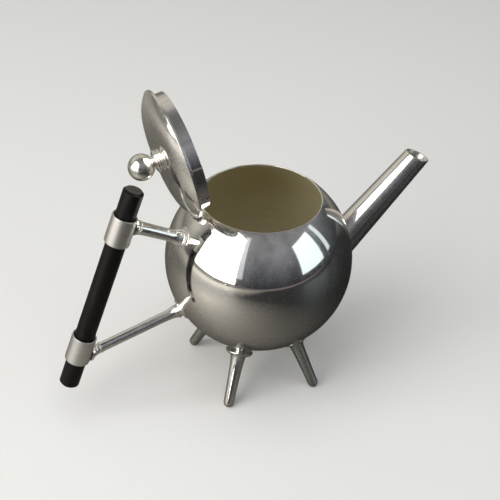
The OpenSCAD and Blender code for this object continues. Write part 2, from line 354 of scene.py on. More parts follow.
class Nodes:
    """Short calls for building a node tree. A colour is a tuple (red, green, blue)."""

    def __init__(self, tree, coordinates="Object"):
        self.tree = tree
        self.place = self.add("ShaderNodeTexCoord").outputs[coordinates]

    def add(self, kind, **settings):
        """A new node. Each setting is one of its properties, or else the value of one of its inputs."""
        node = self.tree.nodes.new(kind)
        for key, value in settings.items():
            if hasattr(node, key):
                setattr(node, key, value)
            else:
                node.inputs[key.replace("_", " ")].default_value = value
        return node

    def feed(self, socket, value):
        """Gives an input another node's output, a colour or a number."""
        if isinstance(value, bpy.types.NodeSocket):
            self.tree.links.new(value, socket)
        elif isinstance(value, tuple):
            socket.default_value = (*value, 1)
        else:
            socket.default_value = value

    def axes(self):
        """The outputs X, Y and Z of the tree's coordinates."""
        split = self.add("ShaderNodeSeparateXYZ")
        self.feed(split.inputs[0], self.place)
        return split.outputs

    def noise(self, scale, detail, roughness=0.5, stretch=(1, 1, 1), distortion=0.0):
        """Soft noise. Where stretch is below 1 on an axis, the noise is drawn out along it."""
        mapping = self.add("ShaderNodeMapping", Scale=stretch)
        self.feed(mapping.inputs["Vector"], self.place)
        node = self.add("ShaderNodeTexNoise", Scale=scale, Detail=detail, Roughness=roughness,
                        Distortion=distortion)
        self.feed(node.inputs["Vector"], mapping.outputs["Vector"])
        return node.outputs["Fac"]

    def spread(self, value, low, high, to_low=0.0, to_high=1.0):
        """Spreads a value's range from low to high over another range, and stops at its ends."""
        node = self.add("ShaderNodeMapRange", clamp=True, From_Min=low, From_Max=high, To_Min=to_low,
                        To_Max=to_high)
        self.feed(node.inputs["Value"], value)
        return node.outputs["Result"]

    def math(self, operation, a, b):
        """The result of an operation on two outputs or numbers."""
        node = self.add("ShaderNodeMath", operation=operation)
        self.feed(node.inputs[0], a)
        self.feed(node.inputs[1], b)
        return node.outputs["Value"]

    def blend(self, factor, a, b):
        """A colour between a, where the factor is 0, and b, where it is 1."""
        node = self.add("ShaderNodeMix", data_type="RGBA")
        self.feed(node.inputs["Factor"], factor)
        self.feed(node.inputs[MIX_A], a)
        self.feed(node.inputs[MIX_B], b)
        return node.outputs[MIX_RESULT]

    def seen_by(self, rays, shader, usual):
        """One shader for one kind of rays and the usual one for all others."""
        mix = self.add("ShaderNodeMixShader")
        self.feed(mix.inputs[0], self.add("ShaderNodeLightPath").outputs[rays])
        self.feed(mix.inputs[1], usual.outputs[0])
        self.feed(mix.inputs[2], shader.outputs[0])
        return mix.outputs[0]


class Finish(Nodes):
    """A material with its shader."""

    def __init__(self, name):
        self.material = bpy.data.materials.new(name)
        self.material.use_nodes = True
        super().__init__(self.material.node_tree)
        self.shader = self.tree.nodes["Principled BSDF"]

    def set(self, **values):
        """Gives the shader's inputs their values."""
        for name, value in values.items():
            self.feed(self.shader.inputs[name.replace("_", " ")], value)

    def bump(self, height, strength, distance):
        """Fine relief. The distance is in metres."""
        node = self.add("ShaderNodeBump", Strength=strength, Distance=distance)
        self.feed(node.inputs["Height"], height)
        self.feed(self.shader.inputs["Normal"], node.outputs["Normal"])


def silver(name, haze, haze_roughness):
    """Silver under fine rubbing: hairlines and specks too small to see singly. Haze is their share."""
    n = Finish(name)
    clouds = n.noise(scale=26, detail=5, roughness=0.6)
    patches = n.noise(scale=70, detail=4, roughness=0.6)
    specks = n.noise(scale=5200, detail=1)
    lines = n.noise(scale=700, detail=3, roughness=0.6, stretch=(1, 0.08, 0.5), distortion=0.8)
    cross_lines = n.noise(scale=650, detail=3, roughness=0.6, stretch=(0.3, 1, 0.07), distortion=0.8)
    middle_grey = 0.5
    unevenness = 0.2
    uneven = n.math("MULTIPLY", n.math("SUBTRACT", patches, middle_grey), unevenness)
    edge_without_haze = 0.66
    edge_drop = 0.27
    softness = 0.1
    speck_edge = edge_without_haze - edge_drop * haze
    rubbed = n.spread(n.math("ADD", specks, uneven), low=speck_edge, high=speck_edge + softness)
    scratched = n.math("MAXIMUM", n.spread(lines, low=0.66, high=0.72),
                       n.spread(cross_lines, low=0.67, high=0.73))
    scratch_share = 0.5
    worn = n.math("MAXIMUM", rubbed, n.math("MULTIPLY", scratched, scratch_share))
    polish = n.spread(clouds, low=0.3, high=0.75, to_low=0.045, to_high=0.085)
    white_silver = (0.95, 0.935, 0.90)
    warm_silver = (0.91, 0.885, 0.83)
    n.set(Metallic=1.0,
          Roughness=n.math("ADD", polish, n.math("MULTIPLY", worn, haze_roughness)),
          Base_Color=n.blend(n.spread(clouds, low=0.35, high=0.7), white_silver, warm_silver))
    patch_relief = 0.5
    relief = n.math("ADD", n.math("MULTIPLY", scratched, -1), n.math("MULTIPLY", patches, patch_relief))
    n.bump(relief, strength=0.06, distance=0.00004)
    return n.material


def inner_finish():
    """The pale yellow, unpolished inside, with spinning lines, and painted shade that makes it darker lower
    down.
    """
    n = Finish("unpolished_inside")
    clouds = n.noise(scale=45, detail=5, roughness=0.6)
    spinning = n.noise(scale=60, detail=5, roughness=0.7, stretch=(0.12, 0.12, 12))
    grain = n.noise(scale=1400, detail=3, roughness=0.6)
    clouds_share = 0.35
    stain = n.math("ADD", n.math("MULTIPLY", clouds, clouds_share),
                   n.math("MULTIPLY", spinning, 1 - clouds_share))
    # Painted shade: the inside gets darker towards the bottom, from the low colours up to the high ones
    painted_shade_by_height = n.spread(n.axes()["Z"], low=0.045, high=0.118)
    low_stained, high_stained = (0.46, 0.415, 0.27), (0.70, 0.64, 0.42)
    low_clean, high_clean = (0.56, 0.505, 0.335), (0.82, 0.755, 0.52)
    stained = n.blend(painted_shade_by_height, low_stained, high_stained)
    clean = n.blend(painted_shade_by_height, low_clean, high_clean)
    n.set(Metallic=0.2,
          Roughness=n.spread(clouds, low=0.3, high=0.7, to_low=0.44, to_high=0.56),
          Base_Color=n.blend(n.spread(stain, low=0.3, high=0.7), clean, stained))
    n.bump(n.math("ADD", grain, spinning), strength=0.12, distance=0.00006)
    return n.material


def satin_silver():
    """Silver brushed along Z."""
    n = Finish("satin_silver")
    brushed = n.noise(scale=500, detail=5, roughness=0.7, stretch=(1, 1, 0.06))
    clouds = n.noise(scale=90, detail=4, roughness=0.6)
    brushing = n.spread(brushed, low=0.3, high=0.7, to_low=0.34, to_high=0.42)
    dulling = n.spread(clouds, low=0.4, high=0.8, to_high=0.08)
    bright = (0.74, 0.73, 0.70)
    dull = (0.66, 0.645, 0.60)
    n.set(Metallic=1.0,
          Roughness=n.math("ADD", brushing, dulling),
          Base_Color=n.blend(n.spread(clouds, low=0.3, high=0.75), bright, dull))
    n.bump(brushed, strength=0.12, distance=0.00004)
    return n.material


def ebony():
    """Waxed black wood with its grain and pores along Z."""
    n = Finish("ebony")
    along = n.noise(scale=260, detail=6, roughness=0.65, stretch=(1, 1, 0.05))
    pores = n.noise(scale=1700, detail=2, stretch=(1, 1, 0.035))
    clouds = n.noise(scale=60, detail=3, roughness=0.6, stretch=(1, 1, 0.3))
    black = (0.0020, 0.0019, 0.0022)
    brown_black = (0.0045, 0.004, 0.004)
    dark = n.blend(n.spread(clouds, low=0.35, high=0.7), black, brown_black)
    streak = (0.014, 0.0125, 0.013)
    n.set(Base_Color=n.blend(n.spread(along, low=0.54, high=0.74), dark, streak),
          Roughness=n.spread(along, low=0.3, high=0.7, to_low=0.3, to_high=0.42),
          Specular_IOR_Level=0.22)
    grain_relief = 0.6
    relief = n.math("ADD", n.spread(pores, low=0.4, high=0.62), n.math("MULTIPLY", along, grain_relief))
    n.bump(relief, strength=0.35, distance=0.00012)
    return n.material


def end_grain():
    """The rod's cut ends, which are paler and duller."""
    n = Finish("ebony_end_grain")
    fibres = n.noise(scale=1500, detail=3, roughness=0.6)
    clouds = n.noise(scale=220, detail=4, roughness=0.6)
    dark = (0.060, 0.051, 0.048)
    pale = (0.086, 0.071, 0.065)
    n.set(Base_Color=n.blend(n.spread(clouds, low=0.35, high=0.7), dark, pale),
          Roughness=n.spread(fibres, low=0.3, high=0.7, to_low=0.42, to_high=0.55),
          Specular_IOR_Level=0.45)
    n.bump(fibres, strength=0.4, distance=0.0001)
    return n.material


def brass():
    """Filed brass, a little tarnished."""
    n = Finish("brass_pin")
    clouds = n.noise(scale=900, detail=4, roughness=0.6)
    bright = (0.70, 0.51, 0.22)
    tarnished = (0.55, 0.37, 0.14)
    n.set(Metallic=1.0,
          Roughness=n.spread(clouds, low=0.3, high=0.7, to_low=0.25, to_high=0.45),
          Base_Color=n.blend(n.spread(clouds, low=0.35, high=0.7), bright, tarnished))
    n.bump(clouds, strength=0.2, distance=0.00005)
    return n.material


SILVER = silver("polished_silver", haze=0.12, haze_roughness=0.42)
WORN = silver("rubbed_silver", haze=0.42, haze_roughness=0.34)
LEG = silver("leg_silver", haze=0.25, haze_roughness=0.34)
DOME = silver("rubbed_dome", haze=0.45, haze_roughness=0.36)
INSIDE = inner_finish()
SATIN = satin_silver()
EBONY = ebony()
END_GRAIN = end_grain()
BRASS = brass()


# ---------------------------------------------------------------- body
def body_shell():
    """The ball: its outside, a rounded edge at the mouth and its inside."""
    inner_r = BALL_R - SHEET
    lip_r = SHEET / 2
    lip = (sqrt((BALL_R - lip_r) ** 2 - (MOUTH_H - lip_r) ** 2), MOUTH_H - lip_r)
    lean = degrees(atan2(lip[1], lip[0]))
    outside = arc((0, 0), BALL_R, -90, lean, 110)[:-1]
    edge = arc(lip, lip_r, lean, lean + 180, 8)
    inside = arc((0, 0), inner_r, lean, -90, 70)[1:]
    verts, faces = revolved(outside + edge + inside, 240)
    inside_from = BALL_R - 0.75 * SHEET
    face_slots = []
    for face in faces:
        middle = sum((Vector(verts[v]) for v in face), Vector()) / len(face)
        face_slots.append(1 if middle.length < inside_from else 0)
    return make("body_shell", verts, faces, BALL, [SILVER, INSIDE], face_slots)


def cut_holes(piece):
    """Drills the strainer holes through the wall behind the spout, in rows of three and two."""
    drills = bmesh.new()
    for row in range(-2, 3):
        count = 2 if row % 2 else 3
        for i in range(count):
            aside = (i - (count - 1) / 2) * STRAINER_STEP
            down = STRAINER_DROP + row * STRAINER_STEP
            place = (Matrix.Scale(MM, 4) @ BALL @ turn("Z", aside) @ turn("Y", 90 + down)
                     @ shift(0, 0, BALL_R - SHEET / 2))
            bmesh.ops.create_cone(drills, cap_ends=True, segments=32, radius1=STRAINER_D / 2,
                                  radius2=STRAINER_D / 2, depth=4 * SHEET, matrix=place)
    mesh = bpy.data.meshes.new("strainer_drills")
    drills.to_mesh(mesh)
    drills.free()
    cutter = bpy.data.objects.new("strainer_drills", mesh)
    bpy.context.scene.collection.objects.link(cutter)
    modifier = piece.modifiers.new("holes", "BOOLEAN")
    modifier.object = cutter
    modifier.operation = "DIFFERENCE"
    modifier.solver = "EXACT"
    apply(piece, modifier)
    bpy.data.objects.remove(cutter)


cut_holes(body_shell())


# ---------------------------------------------------------------- spout
def spout():
    """The spout's tube, from a soldered fillet on the ball to its slanted tip."""
    segments = 128
    rows = 22
    fillet = 0.9
    fillet_rise = 1.6 * fillet
    fillet_steps = 7
    lip_r = SHEET / 2
    lip_steps = 8
    just_inside = BALL_R - 0.02
    centre = SPOUT.inverted() @ BALL @ Vector((0, 0, 0))

    def wall(angle, s, depth):
        """A point in the wall, at a height s along the spout and a depth under its outside."""
        r = SPOUT_ROOT_R - SPOUT_TAPER * s - depth
        return Vector((r * cos(angle), r * sin(angle), s))

    def root(angle, depth):
        """The height at which the wall meets the ball, by halving."""
        low, high = -30.0, 20.0
        for _ in range(40):
            mid = (low + high) / 2
            if (wall(angle, mid, depth) - centre).length > BALL_R:
                high = mid
            else:
                low = mid
        return low

    def tip(angle, depth):
        """The height at which the wall meets the slanted cut."""
        lean = tan(radians(SPOUT_CUT)) * cos(angle)
        return (SPOUT_LEN + (SPOUT_ROOT_R - depth) * lean) / (1 + SPOUT_TAPER * lean)

    columns = []
    for k in range(segments):
        angle = 2 * pi * k / segments
        foot = root(angle, 0)
        end = tip(angle, 0) - lip_r
        inner_foot = root(angle, SHEET)
        inner_end = tip(angle, SHEET) - lip_r
        fillet_top = foot + fillet_rise
        corner = wall(angle, foot, 0)
        up = wall(angle, fillet_top, 0)
        normal = (corner - centre).normalized()
        away = Vector((cos(angle), sin(angle), 0))
        away = (away - normal * away.dot(normal)).normalized()
        side = centre + (corner + away * fillet - centre).normalized() * just_inside
        shares = [i / fillet_steps for i in range(fillet_steps + 1)]
        column = [side.lerp(corner, t).lerp(corner.lerp(up, t), t) for t in shares]
        column += [wall(angle, fillet_top + (end - fillet_top) * i / rows, 0) for i in range(1, rows + 1)]
        outer_edge = wall(angle, end, 0)
        inner_edge = wall(angle, inner_end, SHEET)
        middle = (outer_edge + inner_edge) / 2
        across = (outer_edge - inner_edge) / 2
        along = wall(angle, end + lip_r, 0) - outer_edge
        lip_angles = [pi * i / lip_steps for i in range(1, lip_steps)]
        column += [middle + across * cos(t) + along * sin(t) for t in lip_angles]
        inner_heights = [inner_end + (inner_foot - inner_end) * i / rows for i in range(rows + 1)]
        column += [wall(angle, s, SHEET) for s in inner_heights]
        columns.append(column)
    height = len(columns[0])
    verts = [tuple(point) for column in columns for point in column]
    faces = []
    for k in range(segments):
        m = (k + 1) % segments
        for i in range(height):
            j = (i + 1) % height
            faces.append([k * height + i, m * height + i, m * height + j, k * height + j])
    outside = fillet_steps + rows + lip_steps
    face_slots = [1 if i % height >= outside else 0 for i in range(len(faces))]
    make("spout", verts, faces, SPOUT, [WORN, SATIN], face_slots)


spout()


# ---------------------------------------------------------------- lid
def dome_top(r):
    """The height of the dome's top over the mouth's plane, at a distance from its axis."""
    return SEAT_T + SHEET + (DOME_H - SEAT_T - SHEET) * (1 - (r / LID_R) ** DOME_FALL)


def lid_dome():
    """The dome, rounded at its rim and hollow behind."""
    steps = 56
    top = [(r, dome_top(r)) for r in (LID_R * i / steps for i in range(steps - 1))]
    last_r = LID_R * (steps - 1.5) / steps
    rim = rounded([(last_r, dome_top(last_r)), (LID_R, dome_top(LID_R), 0.3), (LID_R, SEAT_T, 0.15),
                   (DOME_BACK_R, SEAT_T)])
    under = [(r, dome_top(r) - SHEET) for r in (DOME_BACK_R * i / steps for i in range(steps, -1, -1))]
    verts, faces = revolved(top + rim + under, 192)
    face_slots = []
    for face in faces:
        r = sum(hypot(verts[v][0], verts[v][1]) for v in face) / len(face)
        z = sum(verts[v][2] for v in face) / len(face)
        behind = z < dome_top(min(r, LID_R)) - 0.6 * SHEET and r < DOME_BACK_R + 0.01
        face_slots.append(1 if behind else 0)
    make("lid_dome", verts, faces, LID, [DOME, INSIDE], face_slots, body="lid")


def lid_bezel():
    """The ring that drops into the mouth, and the flat seat round it."""
    inner_r = BEZEL_R - SHEET
    seat_r = LID_R - 0.1
    outline = rounded([(inner_r, -BEZEL_H, 0.25), (BEZEL_R, -BEZEL_H, 0.25), (BEZEL_R, 0, 0.3),
                       (seat_r, 0, 0.2), (seat_r, SEAT_T, 0.1), (inner_r, SEAT_T, 0.1)], closed=True)
    turned("lid_bezel", outline, LID, SILVER, segments=192, closed=True, body="lid")


def finial_ring():
    """The round-edged ring that the finial stands on."""
    ring_r = FINIAL_RING_D / 2
    tube_r = FINIAL_RING_T / 2
    sink = 0.1
    cap_z = DOME_H + FINIAL_RING_T + 0.02
    cap_r = 3.9
    outline = ([(0, DOME_H - sink), (ring_r - 1.0, DOME_H - sink), (ring_r - 0.75, DOME_H)]
               + arc((ring_r - tube_r, DOME_H + tube_r), tube_r, -62, 90, 16)
               + [(cap_r, cap_z), (0, cap_z)])
    turned("finial_ring", outline, LID, WORN, body="lid")


def finial():
    """The ball on its neck, which is coved at its foot."""
    ball_r = FINIAL_D / 2
    neck_at = DOME_H + FINIAL_RING_T
    neck_top = FINIAL_H - sqrt(ball_r ** 2 - FINIAL_NECK_R ** 2)
    ball_from = degrees(atan2(neck_top - FINIAL_H, FINIAL_NECK_R))
    cove_out = FINIAL_NECK_R + FINIAL_COVE_R
    foot_r = cove_out + 0.2
    outline = ([(0, neck_at - SINK), (foot_r, neck_at - SINK), (foot_r, neck_at)]
               + arc((cove_out, neck_at + FINIAL_COVE_R), FINIAL_COVE_R, 270, 180, 8)
               + [(FINIAL_NECK_R, neck_top - 0.05)]
               + arc((0, FINIAL_H), ball_r, ball_from, 90, 56)[:-1]
               + [(0, FINIAL_H + ball_r)])
    turned("finial", outline, LID, WORN, body="lid")


lid_dome()
lid_bezel()
finial_ring()
finial()


# ---------------------------------------------------------------- hinge
def hinge_lugs():
    """The body's two knuckles, each on a web that widens down to the ball."""
    r = KNUCKLE_D / 2
    lean = degrees(atan2(HINGE_X, HINGE_H))
    reach = hypot(HINGE_X, HINGE_H) - BALL_R
    waist_r, waist_at = 0.94 * r, -0.6 * reach
    foot_r, foot_at = 1.25 * r, -reach - 0.4
    web = arc((0, 0), r, -8, 188, 20) + [(-waist_r, waist_at), (-foot_r, foot_at), (foot_r, foot_at),
                                         (waist_r, waist_at)]
    verts, faces = [], []
    for side in (-1, 1):
        lug_verts, lug_faces = plate(web, KNUCKLE_LEN)
        first = len(verts)
        verts += [(x, y + side * KNUCKLE_PITCH, z) for x, y, z in lug_verts]
        faces += [[first + v for v in face] for face in lug_faces]
    bevelled(make("hinge_lugs", verts, faces, HINGE @ turn("Y", lean), [SILVER]), 0.22)


def hinge_pin():
    """The pin through the three knuckles, with eased ends."""
    r = HINGE_PIN_D / 2
    half = HINGE_PIN_LEN / 2
    outline = [(0, -half), (0.6 * r, -half + 0.05), (r, -half + 0.3),
               (r, half - 0.3), (0.6 * r, half - 0.05), (0, half)]
    turned("hinge_pin", outline, HINGE @ turn("X", 90), WORN, segments=32)


def lid_knuckle():
    """The lid's knuckle, with the arm that joins it to the lid's edge."""
    r = KNUCKLE_D / 2
    seat_z = SEAT_H - HINGE_H - 0.02
    arm_end = HINGE_OUT + 0.35
    arm = [(-x, z) for x, z in arc((0, 0), r, 90, -180, 26)]
    arm += [(0.9 * r, seat_z), (arm_end, seat_z), (arm_end, r)]
    verts, faces = plate(arm, KNUCKLE_LEN)
    bevelled(make("lid_knuckle", verts, faces, HINGE @ turn("Y", -LID_OPEN), [SILVER], body="lid"), 0.22)


hinge_lugs()
hinge_pin()
lid_knuckle()


# ---------------------------------------------------------------- handle
def flange(label, place, ring_d):
    """A flange with a soldered foot on the ball and a cove up to its ring. +Z points out of the ball."""
    rim_r = FLANGE_D / 2
    foot_r = (ring_d - RING_T) / 2
    top = BALL_R + FLANGE_T
    cove_r = FLANGE_T - FLANGE_RIM_T
    solder_r = rim_r + 0.35
    root = 1.2
    rim_edge = 0.34
    outline = ([(0, BALL_R - root), (solder_r, on_ball(solder_r) - 0.05)]
               + [(rim_r + 0.06, on_ball(rim_r) + 0.18)]
               + arc((rim_r - 0.32, BALL_R + FLANGE_RIM_T - 0.30), rim_edge, 0, 90, 6)
               + arc((foot_r + 1.15 * cove_r, top + 0.02), cove_r, 262, 180, 10)
               + [(foot_r, top), (0, top)])
    turned(f"{label}_strut_flange", outline, place, WORN)


def ring(label, place, ring_d):
    """The round-edged ring on a flange."""
    tube_r = RING_T / 2
    low = BALL_R + FLANGE_T
    high = low + RING_T
    cap_r = (ring_d - RING_T) / 2 - 0.2
    outline = ([(0, low - 0.05), (cap_r, low - 0.05)]
               + arc((ring_d / 2 - tube_r, low + tube_r), tube_r, -90, 90, 14)
               + [(cap_r, high + 0.03), (0, high + 0.03)])
    turned(f"{label}_strut_ring", outline, place, WORN)


def strut(label, place, start, bead_at, end, root_d, end_d, flare):
    """A strut, which flares a little where it meets its ring and runs into its saddle. +Z is outwards."""
    length = bead_at - start
    outline = [(0, start - SINK)]
    for t in crowded(32):
        r = root_d / 2 + (end_d - root_d) / 2 * t + flare * exp(-t * length / STRUT_FLARE_LEN)
        outline.append((r, start - SINK + (length + SINK) * t))
    outline += [(end_d / 2, end + 0.5), (0, end + 0.5)]
    turned(f"{label}_strut", outline, place, WORN, segments=72)


def bead(label, place, at, strut_d):
    """The bead round a strut near its outer end."""
    tube_r = BEAD_T / 2
    inner_r = strut_d / 2 - 0.15
    outline = ([(inner_r, at - 0.1)]
               + arc((strut_d / 2 + BEAD_LIP - tube_r, at + tube_r), tube_r, -90, 90, 12)
               + [(inner_r, at + BEAD_T + 0.1)])
    turned(f"{label}_strut_bead", outline, place, WORN, segments=72, closed=True)


def saddle(label, at, d, lean, strut_r, reach):
    """The small disc on a collar, drawn out in a trumpet to its strut, which leans from square."""
    square = Vector((1, 0, 0))
    along = Vector((cos(radians(lean)), 0, sin(radians(lean))))
    thick = 1.0
    edge = 0.35
    inside = COLLAR_R - 0.55
    face = COLLAR_R + thick
    rings = [(Vector((x, 0, at)), square, d / 2) for x in (inside, face - 1.4 * edge)]
    edge_steps = 5
    for t in (pi / 2 * i / edge_steps for i in range(edge_steps + 1)):
        rings.append((Vector((face - edge + edge * sin(t), 0, at)), square, d / 2 - edge + edge * cos(t)))
    foot = Vector((COLLAR_R, 0, at))
    middle = foot + along * (thick / along.x)
    end = foot + along * reach
    inner_r = strut_r - 0.08
    flare = d / 2 - edge - 0.3 - inner_r
    flare_steps = 8
    for t in (i / flare_steps for i in range(flare_steps + 1)):
        r = inner_r + flare * (1 - t) ** 2.6 + 0.06 * (1 - t)
        rings.append((middle.lerp(end, t) + square * 0.02, square.lerp(along, t).normalized(), r))
    verts, faces = lofted(rings, 72)
    make(f"{label}_saddle", verts, faces, ROD, [WORN])


def collar(label, at):
    """A satin collar: a tube with softened edges."""
    inner_r = COLLAR_R - SHEET
    half = COLLAR_LEN / 2
    outline = rounded([(inner_r, -half, 0.15), (COLLAR_R, -half, 0.25), (COLLAR_R, half, 0.25),
                       (inner_r, half, 0.15)], closed=True)
    turned(f"{label}_collar", outline, ROD @ shift(0, 0, at), SATIN, segments=128, closed=True,
           slot="satin_silver")


def handle_pin(label, at, low, high):
    """A brass pin across the rod, with its ends dressed to low domes."""
    r = HANDLE_PIN_D / 2
    proud = 0.12
    outline = [(0, low - proud), (0.7 * r, low - 0.6 * proud), (r, low + 0.1),
               (r, high - 0.1), (0.7 * r, high + 0.6 * proud), (0, high + proud)]
    place = ROD @ shift(0, 0, at) @ turn("X", -90)
    turned(f"{label}_pin", outline, place, BRASS, segments=32, slot="brass_pin")


def handle_rod():
    """The rod, with bevelled ends."""
    half = ROD_LEN / 2
    r = ROD_D / 2
    outline = rounded([(0, -half), (r - ROD_BEVEL, -half, 0.2), (r, -half + ROD_BEVEL, 0.3),
                       (r, half - ROD_BEVEL, 0.3), (r - ROD_BEVEL, half, 0.2), (0, half)])
    verts, faces = revolved(outline, 96)
    end_face = half - 0.01
    face_slots = [1 if min(abs(verts[v][2]) for v in face) > end_face else 0 for face in faces]
    make("handle_rod", verts, faces, ROD, [EBONY, END_GRAIN], face_slots, slot="ebony")


flange("upper", UPPER_STRUT, UPPER_RING_D)
ring("upper", UPPER_STRUT, UPPER_RING_D)
flange("lower", LOWER_ROOT, LOWER_RING_D)
ring("lower", LOWER_ROOT, LOWER_RING_D)
strut("upper", UPPER_STRUT, BALL_R + FLANGE_T + RING_T, UPPER_BEAD_AT, UPPER_END, UPPER_ROOT_D, UPPER_END_D,
      flare=1.35)
bead("upper", UPPER_STRUT, UPPER_BEAD_AT, UPPER_END_D)
strut("lower", LOWER_STRUT, FLANGE_T + RING_T, LOWER_BEAD_AT, LOWER_END, LOWER_STRUT_D, LOWER_STRUT_D,
      flare=1.1)
bead("lower", LOWER_STRUT, LOWER_BEAD_AT, LOWER_STRUT_D)
saddle("upper", UPPER_SADDLE_AT, UPPER_SADDLE_D, ROD_TILT - UPPER_TILT, UPPER_END_D / 2, reach=2.6)
saddle("lower", LOWER_SADDLE_AT, LOWER_SADDLE_D, ROD_TILT + LOWER_TILT, LOWER_STRUT_D / 2, reach=6.0)
collar("upper", UPPER_COLLAR_AT)
collar("lower", LOWER_COLLAR_AT)
handle_pin("upper", UPPER_COLLAR_AT, -COLLAR_R, COLLAR_R)
handle_pin("lower", LOWER_COLLAR_AT, LOWER_PIN_END, COLLAR_R)
handle_rod()


# ---------------------------------------------------------------- legs
def leg(label, place):
    """A turned leg with a ball foot, worn flat where it stands."""
    foot_r = FOOT_D / 2
    foot_h = sqrt(FOOT_D ** 2 - FOOT_FLAT_D ** 2) / 2
    foot_at = (BALL_Z - foot_h) / sin(radians(LEG_DROP))
    flare = LEG_TOP_R - foot_r - LEG_TAPER * (foot_at - LEG_AT)
    outline = [(0, LEG_AT - SINK), (LEG_TOP_R - 0.5, LEG_AT - SINK)]
    for at in (LEG_AT + (foot_at - LEG_AT) * t for t in crowded(40)):
        r = foot_r + LEG_TAPER * (foot_at - at) + flare * exp(-(at - LEG_AT) / LEG_FLARE_LEN)
        outline.append((r, at))
    outline += arc((0, foot_at), foot_r, 0, 90, 14)[1:-1] + [(0, foot_at + foot_r)]
    verts, faces = revolved(outline, 96)
    flattened = []
    for v in verts:
        stood = place @ Vector(v)
        stood.z = max(stood.z, 0)
        flattened.append(place.inverted() @ stood)
    make(f"leg_{label}", flattened, faces, place, [LEG])


def leg_disc(label, place):
    """The thin saucer over a leg, on a coved neck, with a bowl drawn down to the leg."""
    cove_r = 0.9
    cove_out = LEG_NECK_R + cove_r
    edge_r = LEG_DISC_D / 2
    edge_at = LEG_DISC_AT + LEG_DISC_DISH
    rim_r = 0.17
    bowl_r = LEG_TOP_R + 0.25
    bowl_from = edge_at + LEG_DISC_EDGE
    bowl_depth = LEG_DISC_BOWL - 0.05
    bowl_steps = 12
    angles = [pi / 2 * i / bowl_steps for i in range(bowl_steps + 1)]
    bowl = [(bowl_r + (edge_r - bowl_r) * cos(t), bowl_from + bowl_depth * sin(t)) for t in angles]
    outline = ([(0, BALL_R - 1), (cove_out, on_ball(cove_out) - 0.03)]
               + arc((cove_out, BALL_R + cove_r), cove_r, 262, 180, 8)
               + arc((LEG_NECK_R + 0.6, LEG_DISC_AT - 0.55), 0.6, 180, 100, 6)
               + [(LEG_NECK_R + 1.6, LEG_DISC_AT + 0.08)]
               + [(edge_r - 0.9, edge_at - 0.08), (edge_r - 0.4, edge_at - 0.02)]
               + arc((edge_r - rim_r, edge_at + 0.16), rim_r, -90, 0, 5)
               + bowl
               + [(LEG_TOP_R - 0.2, LEG_AT), (0, LEG_AT)])
    turned(f"leg_disc_{label}", outline, place, WORN)


for label, heading in (("front_left", FRONT_LEG_TURN), ("front_right", -FRONT_LEG_TURN),
                       ("rear_left", 180 - REAR_LEG_TURN), ("rear_right", REAR_LEG_TURN - 180)):
    leg(label, leg_place(heading))
    leg_disc(label, leg_place(heading))


# ---------------------------------------------------------------- stage, in metres
# The paper is a painted reflection: the dark sheet that silver sees in place of the floor, with painted
# light and shade on it
FLOOR_HALF = 4.0
FLOOR_PALE = (0.72, 0.72, 0.71)
# Painted pool of window light on the paper, round the pot on the window's side
PAINTED_WINDOW_POOL = (0.42, 0.395, 0.35)
# Painted sheen of the window on the paper, far off on the window's side (-X)
PAPER_PAINTED_SHEEN = (0.34, 0.32, 0.28)
# Dark paper with painted shade, on the side away from the window where the pot's shadow falls
PAPER_DARK_PAINTED_SHADE = (0.010, 0.010, 0.0095)
PAPER_EDGE = (0.40, 0.33, 0.31)
PAPER_BACK = (0.28, 0.266, 0.235)
# Where the painted pool of window light lies, and how wide it is
PAINTED_POOL_AT = (-0.21, -0.05, 0)
PAINTED_POOL_R = 0.37

ROOM_PALE = (0.62, 0.62, 0.61)
ROOM_BY_HEIGHT = (
    (0.0, (0.035, 0.037, 0.042)),
    (0.3, (0.10, 0.104, 0.116)),
    (0.62, (0.21, 0.215, 0.235)),
    (0.85, (0.20, 0.20, 0.21)),
    (1.0, (0.16, 0.16, 0.165)),
)
WALL_LOW = (0.17, 0.165, 0.15)
WALL_HIGH = (0.54, 0.515, 0.46)

WARM_DAY = (1.0, 0.98, 0.94)
CLEAR_DAY = (0.93, 0.97, 1.0)
COOL_DAY = (0.84, 0.97, 1.0)
FILL_SIZE = 2.4
FILL_WATTS = 26.0
FILL_AT = (-0.3, -0.4, 2.2)


